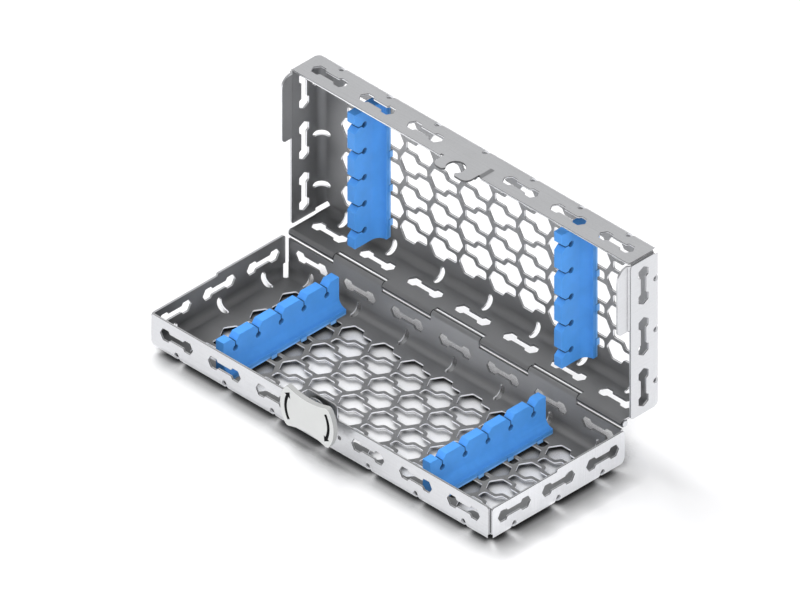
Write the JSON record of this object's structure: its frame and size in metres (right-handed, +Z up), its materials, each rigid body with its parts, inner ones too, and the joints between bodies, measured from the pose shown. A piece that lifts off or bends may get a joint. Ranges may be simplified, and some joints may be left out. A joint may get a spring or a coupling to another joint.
{
  "type": "dental instrument cassette",
  "caption": "Hinged perforated sheet-steel cassette, shown open, with notched rubber racks in base and lid and a turning latch knob on the front wall.",
  "frame": {"origin": "middle of the ground that the cassette covers with its lid open at 90 degrees, on the surface it stands on", "axes": "+X along the length to the right of the latch, +Y from the latch to the hinge, +Z up"},
  "size_m": [0.18, 0.0978, 0.0919],
  "materials": {
    "steel_base": "brushed",
    "steel_lid": "brushed",
    "steel_pin": "brushed",
    "latch_steel": "brushed",
    "rack_rubber": "satin silicone",
    "knob_plastic": "fine matt",
    "arrow_black": "matt ink"
  },
  "bodies": {
    "base": {"base_tray": "steel_base", "hinge_pin": "steel_pin", "rack_base_left": "rack_rubber", "rack_base_right": "rack_rubber", "latch_washer": "latch_steel", "latch_spring": "latch_steel"},
    "lid": {"lid_tray": "steel_lid", "rack_lid_left": "rack_rubber", "rack_lid_right": "rack_rubber"},
    "latch": {"latch_knob": "knob_plastic", "latch_hub": "latch_steel", "latch_disc": "latch_steel", "latch_rivet": "latch_steel", "arrow_left": "arrow_black", "arrow_right": "arrow_black"}
  },
  "joints": [
    {"name": "lid_hinge", "type": "hinge", "parent": "base", "child": "lid", "pos_m": [0, 0.0309, 0.018], "axis": [1, 0, 0], "range_deg": [-90, 90]},
    {"name": "latch_turn", "type": "hinge", "parent": "base", "child": "latch", "pos_m": [0, -0.042, 0.0169], "axis": [0, 1, 0], "range_deg": [0, 90]}
  ]
}
